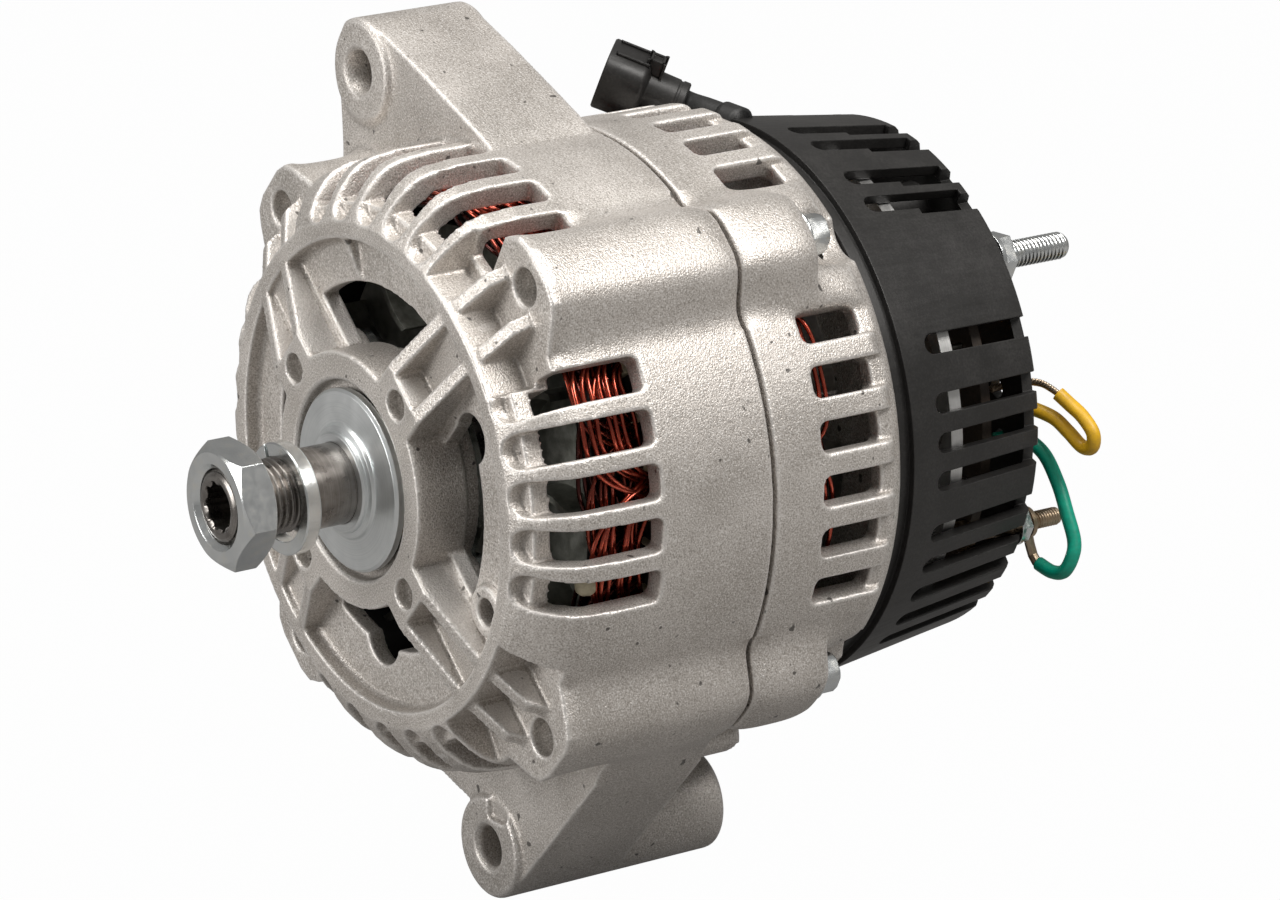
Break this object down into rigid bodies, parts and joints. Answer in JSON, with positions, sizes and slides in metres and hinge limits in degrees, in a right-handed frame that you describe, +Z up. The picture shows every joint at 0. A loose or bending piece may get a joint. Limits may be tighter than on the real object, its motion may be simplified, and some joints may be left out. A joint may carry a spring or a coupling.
{
  "type": "automotive alternator",
  "caption": "Belt-driven alternator with cast two-part housing, slotted black rear cover, mounting lugs, turning claw-pole rotor and plug lead.",
  "frame": {"origin": "centre of the hub's front face on the shaft line", "axes": "-Y along the shaft towards the drive end, +Z up, +X to the right seen from the drive end"},
  "size_m": [0.1326, 0.191, 0.1872],
  "materials": {
    "cast_alloy": "shot-blasted sand casting, satin, fine grain",
    "plate_alloy": "rolled plate, satin",
    "zinc_steel": "zinc plated, semi-bright",
    "bearing_steel": "ground and polished",
    "shaft_steel": "turned and oiled",
    "lamination_steel": "stacked sheet with dark varnish",
    "copper_wire": "enamelled copper wire, varnished",
    "insulation_paper": "pressed paper, matt",
    "black_plastic": "moulded plastic, satin",
    "black_rubber": "smooth rubber",
    "yellow_insulation": "wire insulation, slightly soiled",
    "green_insulation": "wire insulation, slightly soiled",
    "tinned_metal": "tinned and tarnished",
    "brown_plastic": "moulded resin, matt",
    "diode_metal": "nickel plated",
    "regulator_case": "dark moulded case",
    "rotor_iron": "forged and machined iron",
    "fan_sheet": "pressed sheet, phosphated",
    "ring_copper": "turned copper",
    "cage_brass": "pressed brass",
    "carbon": "pressed carbon",
    "spring_steel": "spring wire"
  },
  "bodies": {
    "frame": {"front_housing": "cast_alloy", "rear_housing": "cast_alloy", "negative_plate": "plate_alloy", "positive_plate": "plate_alloy", "through_bolts": "zinc_steel", "retainer_screws": "zinc_steel", "cover_nuts": "zinc_steel", "cover_studs": "zinc_steel", "main_stud": "zinc_steel", "main_stud_nut": "zinc_steel", "small_stud": "zinc_steel", "small_stud_nut": "zinc_steel", "retainer_plate": "zinc_steel", "front_outer_race": "bearing_steel", "rear_outer_race": "bearing_steel", "stator_core": "lamination_steel", "stator_windings": "copper_wire", "slot_insulation": "insulation_paper", "rear_cover": "black_plastic", "plug": "black_plastic", "plug_seal": "black_rubber", "lead": "black_rubber", "lead_grommet": "black_rubber", "yellow_wire": "yellow_insulation", "green_wire": "green_insulation", "wire_ends": "tinned_metal", "plate_spacers": "brown_plastic", "diodes": "diode_metal", "rectifier_terminals": "brown_plastic", "main_stud_bush": "black_plastic", "regulator": "regulator_case", "brush_holder": "brown_plastic", "suppressor": "diode_metal", "front_brush_spring": "spring_steel", "rear_brush_spring": "spring_steel"},
    "rotor": {"shaft": "shaft_steel", "shaft_nut": "zinc_steel", "lock_washer": "zinc_steel", "thrust_disc": "zinc_steel", "front_inner_race": "bearing_steel", "rear_inner_race": "bearing_steel", "front_claw": "rotor_iron", "rear_claw": "rotor_iron", "field_coil": "copper_wire", "coil_bobbin": "brown_plastic", "front_fan": "fan_sheet", "rear_fan": "fan_sheet", "slip_rings": "ring_copper", "slip_ring_core": "brown_plastic"},
    "front_ball_ring": {"front_balls": "bearing_steel", "front_cage": "cage_brass"},
    "rear_ball_ring": {"rear_balls": "bearing_steel", "rear_cage": "cage_brass"},
    "front_brush_body": {"front_brush": "carbon"},
    "rear_brush_body": {"rear_brush": "carbon"}
  },
  "joints": [
    {"name": "rotor_spin", "type": "hinge", "parent": "frame", "child": "rotor", "pos_m": [0, 0, 0], "axis": [0, 1, 0], "continuous": true},
    {"name": "front_balls_spin", "type": "hinge", "parent": "frame", "child": "front_ball_ring", "pos_m": [0, 0.0102, 0], "axis": [0, 1, 0], "continuous": true},
    {"name": "rear_balls_spin", "type": "hinge", "parent": "frame", "child": "rear_ball_ring", "pos_m": [0, 0.0925, 0], "axis": [0, 1, 0], "continuous": true},
    {"name": "front_brush_lift", "type": "slide", "parent": "frame", "child": "front_brush_body", "axis": [-1, 0, 0], "range_m": [0, 0.004], "stiffness_N_per_m": 180, "springref_m": -0.008, "deforming": ["front_brush_spring"]},
    {"name": "rear_brush_lift", "type": "slide", "parent": "frame", "child": "rear_brush_body", "axis": [-1, 0, 0], "range_m": [0, 0.004], "stiffness_N_per_m": 180, "springref_m": -0.008, "deforming": ["rear_brush_spring"]}
  ],
  "couplings": [
    {"joint": "front_balls_spin", "follows": "rotor_spin", "ratio": 0.3737},
    {"joint": "rear_balls_spin", "follows": "rotor_spin", "ratio": 0.376}
  ]
}
